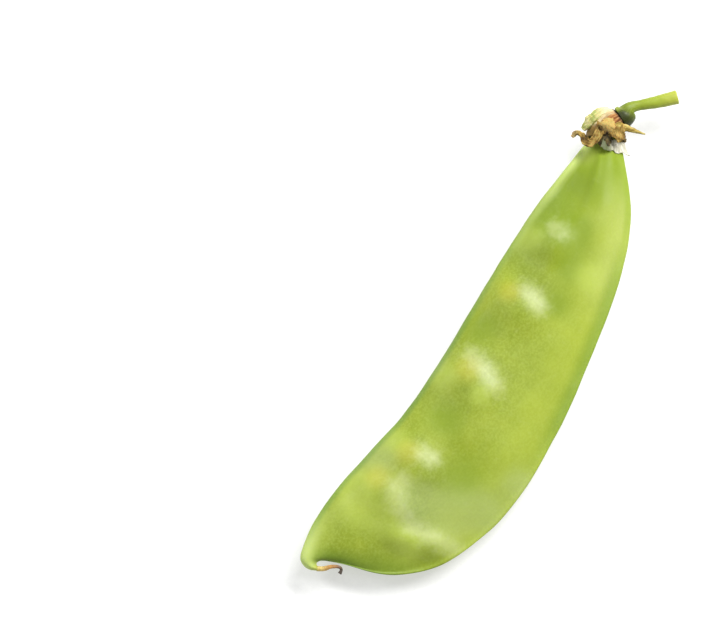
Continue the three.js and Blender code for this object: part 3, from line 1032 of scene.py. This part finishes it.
# %% Laying the colours over
from_ventral, from_dorsal = noted["from_ventral"], noted["from_dorsal"]
PAINTS = [
    # painted shade along the dorsal side at the beak, where the belly turns away from the lamps
    ("5f7f1e", from_dorsal, 1.0, 8.0, 0.8, 0.0, "to_beak"),
    # painted light along the ventral side at the beak
    ("a0b04a", from_ventral, 0.5, 5.0, 0.6, 0.0, "to_beak"),
    # painted light past the crease, where the valve faces the key light
    ("a6b43c", from_dorsal, 4.0, 14.0, 0.4, 0.0, "past_crease"),
    # painted shade on the ventral half of the shoulder, which faces away from the key light
    ("6a821a", from_ventral, 2.0, 10.0, 0.7, 0.0, "shoulder"),
    ("789000", share_along, 0.8, 0.9, 0.0, 0.7, "everywhere"),
    # painted shade in the hollows between and beside the peas
    ("708600", noted["painted_shade"], 0.0, 1.2, 0.0, 0.75, "everywhere"),
    # painted light where the skin faces the lamps
    ("b2c256", noted["painted_light"], 0.0, 1.0, 0.0, 0.45, "everywhere"),
    # wax bloom, with a painted sheen
    ("a2b07c", noted["wax_and_sheen"], 0.0, 1.0, 0.0, 0.3, "everywhere"),
    # painted reflection of the key light beside the dorsal suture at the shoulder
    ("c0cc7c", from_dorsal, 2.0, 7.0, 0.3, 0.0, "shoulder"),
    # painted shade along the dorsal suture, where its rounded edge turns away from the lamps
    ("6c881c", from_dorsal, 0.6, 3.2, 0.65, 0.0, "off_ends"),
    ("4f7f38", from_ventral, 0.3, 1.3, 0.45, 0.0, "off_neck"),
    ("b8c874", from_ventral, 0.5, 1.9, 0.85, 0.0, "to_neck"),
    # painted light along the ventral edge at the beak
    ("c0cf78", from_ventral, 0.5, 2.8, 0.7, 0.0, "beak_edge"),
    ("869c22", from_dorsal, 0.7, 1.8, 0.8, 0.0, "to_neck"),
    ("9c9c28", share_along, 0.01, 0.1, 0.7, 0.0, "everywhere"),
    ("b0a838", noted["yellowed"], 0.1, 1.0, 0.0, 0.4, "everywhere"),
]
skin = paint_all(tree, skin, PAINTS, bands)
print("colours laid over", len(PAINTS))

# %% [markdown]
# ## Painted highlights and gloss
# Highlights are painted in pale cream, broken into flecks, along the lines where the lamps'
# highlights fall. The wax makes the real highlights broad and soft, glossier along those lines and
# duller, as if dusty, near the neck. Light goes a little way into the wet cells, green and red
# further than blue, and comes out again.

# %% Painted highlights and gloss
# The painted highlights break into flecks of about a millimetre, and the gloss changes over about
# three.
cloud = add(tree, "TexNoise", {"Vector": mm, "Scale": 0.9, "Detail": 5.0}).outputs["Fac"]
highlight_paint = add(tree, "Math", {0: cloud, 1: 1.1, 2: noted["near_highlight"]}, operation="MULTIPLY_ADD")
# painted highlight: pale cream laid along the highlight lines
skin = paint_over(tree, skin, "d6daac", highlight_paint.outputs["Value"], 0.55, 1.7, 0.0, 0.23)

gloss = add(tree, "TexNoise", {"Vector": mm, "Scale": 0.35, "Detail": 4.0}).outputs["Fac"]
dulled = {"Value": gloss, "From Min": 0.3, "From Max": 0.7, "To Min": 0.42, "To Max": 0.58}
dull = add(tree, "MapRange", dulled, interpolation_type="SMOOTHSTEP").outputs["Result"]
over_highlights = {0: noted["near_highlight"], 1: -0.12, 2: dull}
tight = add(tree, "Math", over_highlights, operation="MULTIPLY_ADD").outputs["Value"]
dusty = {"Value": share_along, "From Min": 0.84, "From Max": 0.94, "To Min": 0.0, "To Max": 0.15}
dusty = add(tree, "MapRange", dusty, interpolation_type="SMOOTHSTEP").outputs["Result"]
tight = add(tree, "Math", {0: tight, 1: dusty}, operation="ADD").outputs["Value"]
WET_CELLS = (1.0, 1.3, 0.35)  # how far red, green and blue light go in, against each other
dress(tree, shader, skin, cells, 0.2, 0.02, {
    "Roughness": tight,
    "IOR": 1.4,
    "Subsurface Weight": 0.25,
    "Subsurface Radius": WET_CELLS,
    "Subsurface Scale": 0.8 * MM,
    "Sheen Weight": 0.05,
    "Sheen Roughness": 0.4,
})
put_on(pod, pod_skin)

# %% [markdown]
# ## The finish of the stalk
# The same living skin without the painted highlights. The swollen head is painted dark as shade,
# but for its ventral side, and the stem is yellower along its length, with fine streaks where its
# fibres run. The snapped end shows a ring of bark, paler pith inside it and a darker middle, all
# rough with torn fibres.

# %% Stem skin and pith
stem_skin, tree, shader = new_finish("fresh stem skin and pith")
skin_place, around, share_along = on_skin(tree)
# painted shade: the swollen head is dark, and the stem yellower along its length
greens = [(0.0, "262c06"), (0.18, "303806"), (0.4, "6c7c1a"), (0.8, "8f9d30"), (1.0, "a8ac44")]
stem = add(tree, "ValToRGB", {"Fac": share_along}, stops=greens).outputs["Color"]
fibres = fibres_on(tree, skin_place, (5, 5, 1.5), 2.0, 3.0)
grain = {"Vector": in_millimetres(tree), "Scale": 1 / 0.25, "Detail": 3.0}
grain = add(tree, "TexNoise", grain).outputs["Fac"]
parts = {"everywhere": None}
for name, none, full in (("off_head", 0.1, 0.45), ("on_head", 0.4, 0.15), ("snapped", 1.0, 1.008)):
    rise = {"Value": share_along, "From Min": none, "From Max": full}
    parts[name] = add(tree, "MapRange", rise, interpolation_type="SMOOTHSTEP").outputs["Result"]
PAINTS = [
    ("8e9a38", fibres, 0.4, 0.7, 0.0, 0.35, "off_head"),
    # lighter on the head's ventral side, where the painted shade stops
    ("8a9838", around, 0.2, 0.85, 0.0, 1.0, "on_head"),
    ("9a9c50", share_along, 1.0, 1.008, 0.0, 1.0, "everywhere"),  # bark
    ("bcb67c", share_along, 1.011, 1.018, 0.0, 0.9, "everywhere"),  # pith
    ("7c7c40", share_along, 1.022, 1.03, 0.0, 0.8, "everywhere"),  # the middle
    ("6c6c3c", grain, 0.45, 0.65, 0.0, 0.6, "snapped"),
]
stem = paint_all(tree, stem, PAINTS, parts)
dulled = {"Value": grain, "From Min": 0.3, "From Max": 0.7, "To Min": 0.4, "To Max": 0.55}
dress(tree, shader, stem, fibres, 0.4, 0.05, {
    "Roughness": add(tree, "MapRange", dulled, interpolation_type="SMOOTHSTEP").outputs["Result"],
    "IOR": 1.37,
    "Subsurface Weight": 0.3,
    "Subsurface Radius": WET_CELLS,
    "Subsurface Scale": 0.6 * MM,
})
put_on(stalk, stem_skin)

# %% [markdown]
# ## The dry sepals
# What has withered is matt and fibrous. The sepals keep their nerves as darker streaks, about
# 0.13 mm apart, that run along them, with blotches about a millimetre across, and each has dried
# to its own colours. One function makes them all, each from three colours and a tint.

# %% Dry sepals
def withered_leaf(name, dark, middle, light, tint="d8c08c", clear=9.0, full=10.0):
    """A dry sepal's finish, streaked along its nerves from a dark to a light colour, and tinted
    between two places along it, in millimetres out from its foot."""
    finish, tree, shader = new_finish(name)
    along = add(tree, "UVMap").outputs["UV"]
    streaks = fibres_on(tree, along, (0.5, 5, 1), 1.5, 4.0)
    blotches = {"Vector": in_millimetres(tree), "Scale": 0.9, "Detail": 3.0}
    blotches = add(tree, "TexNoise", blotches).outputs["Fac"]
    both = add(tree, "Math", {0: streaks, 1: blotches}, operation="ADD").outputs["Value"]
    half = add(tree, "Math", {0: both, 1: 0.5}, operation="MULTIPLY").outputs["Value"]
    browns = [(0.38, dark), (0.48, middle), (0.6, light)]
    dry = add(tree, "ValToRGB", {"Fac": half}, stops=browns).outputs["Color"]
    out = add(tree, "SeparateXYZ", {"Vector": along}).outputs["X"]
    dry = paint_over(tree, dry, tint, out, clear, full, 0.0, 0.8)
    dress(tree, shader, dry, streaks, 0.7, 0.08, {
        "Roughness": 0.7,
        "IOR": 1.35,
        "Subsurface Weight": 0.15,
        "Subsurface Scale": 0.4 * MM,
    })
    return finish


greenish = withered_leaf(
    "half dry greenish sepal", "8e9650", "a8ac60", "c8c28c", tint="dcd4b0", clear=3.0, full=1.2
)
golden = withered_leaf("golden dry sepal", "3c2a0c", "765c22", "ac9250", clear=7.0, full=9.0)
brown = withered_leaf("brown dry sepal", "1e1408", "4e3c18", "846830", "c0a45c", 3.2, 1.4)
straw = withered_leaf("straw dry sepal", "6a5620", "a08a3e", "c8b874")
# painted shade: the blackened shred fills the shaded hollow under the lobes
shade_blackened = withered_leaf("petal shreds blackened as painted shade", "14110a", "2c2714", "5a4c26")
for sepal, finish in zip(sepals, (greenish, golden, brown, straw, golden, shade_blackened)):
    put_on(sepal, finish)

# %% [markdown]
# ## The cup's wall
# The cup has shrunk to a russet brown, streaked by its nerves, about 0.4 mm apart. It is olive
# towards the rim, cream on its ventral flank, where the thin wall has bleached, and nearly black
# at the foot, where it cracked away from the stalk.

# %% The cup wall
cup_wall, tree, shader = new_finish("shrunken calyx cup")
skin_place, around, along = on_skin(tree)
nerves = fibres_on(tree, skin_place, (4, 4, 1), 2.0, 4.0)
russets = [(0.3, "52290e"), (0.48, "8a5626"), (0.6, "ae8250"), (0.75, "c4ac80")]
wall = add(tree, "ValToRGB", {"Fac": nerves}, stops=russets).outputs["Color"]
foot = {"Value": along, "From Min": 0.65, "From Max": 0.45}
foot = add(tree, "MapRange", foot, interpolation_type="SMOOTHSTEP").outputs["Result"]
flank = add(tree, "Math", {0: nerves, 1: 1.4, 2: around}, operation="MULTIPLY_ADD")
flank = flank.outputs["Value"]
wall = paint_over(tree, wall, "6a5a28", along, 0.4, 0.7, 0.0, 0.8)
wall = paint_over(tree, wall, "cec298", flank, -0.1, 0.4, 0.85, 0.0, where=foot)
wall = paint_over(tree, wall, "24150f", along, 0.02, 0.12, 0.9, 0.0)
dress(tree, shader, wall, nerves, 0.6, 0.08, {"Roughness": 0.75, "IOR": 1.35})
put_on(cup, cup_wall)

# %% [markdown]
# ## The paper sheath
# It has bleached to off-white paper with greyer fibres along it, about 0.4 mm apart, so thin that
# the neck shows faintly through. Towards the ventral suture it is painted dark green: the neck
# seen through the paper, and painted shade under the sepals.

# %% The paper sheath
paper, tree, shader = new_finish("bleached papery sheath")
skin_place, around, _ = on_skin(tree)
fibrils = fibres_on(tree, skin_place, (9, 9, 1), 1.5, 4.0)
whites = [(0.35, "a5a68e"), (0.5, "d2ccb8"), (0.65, "ebe6da")]
white = add(tree, "ValToRGB", {"Fac": fibrils}, stops=whites).outputs["Color"]
# dark green towards the ventral suture: the neck showing through, and painted shade
white = paint_over(tree, white, "4c5624", around, -0.5, 0.0, 0.0, 0.96)
dress(tree, shader, white, fibrils, 0.5, 0.05, {"Roughness": 0.55, "Alpha": 0.8})
put_on(sheath, paper)

# %% [markdown]
# ## The style's finish
# The style is as dry and hard as a thin twig, straw at its root, amber along the hook and dark
# brown at its tip, with shrivelled spots 0.25 mm across.

# %% The style's finish
thread, tree, shader = new_finish("dried style")
_, _, share_along = on_skin(tree)
ambers = [(0.0, "aaa244"), (0.12, "cbb266"), (0.4, "be8a46"), (0.6, "76563c"), (0.75, "443a30")]
amber = add(tree, "ValToRGB", {"Fac": share_along}, stops=ambers).outputs["Color"]
shrivel = {"Vector": in_millimetres(tree), "Scale": 1 / 0.25, "Detail": 3.0}
shrivel = add(tree, "TexNoise", shrivel).outputs["Fac"]
amber = paint_over(tree, amber, "4a3a2c", shrivel, 0.4, 0.7, 0.0, 0.35)
dress(tree, shader, amber, shrivel, 0.5, 0.05, {"Roughness": 0.5})
put_on(style, thread)

# %% [markdown]
# ## The table's finish
# Small produce is often lit on a sheet of matt white acrylic with a lamp under it. Light from
# above alone would leave a hard, dark edge of shadow. The glow from below thins it to a soft grey
# that still seats the pod, and the sheet stays white to the edges of the view.

# %% Backlit white acrylic
acrylic, tree, shader = new_finish("backlit matt white acrylic")
grain = {"Vector": in_millimetres(tree), "Scale": 1.5, "Detail": 2.0}
grain = add(tree, "TexNoise", grain).outputs["Fac"]
white = add(tree, "ValToRGB", {"Fac": grain}, stops=[(0.3, "bebebe"), (0.7, "c3c3c3")])
fill(tree, shader, {
    "Base Color": white.outputs["Color"],
    "Emission Color": (1.0, 1.0, 1.0, 1.0),
    "Emission Strength": 0.46,
    "Roughness": 0.9,
    "Specular IOR Level": 0.1,
})
put_on(floor, acrylic)
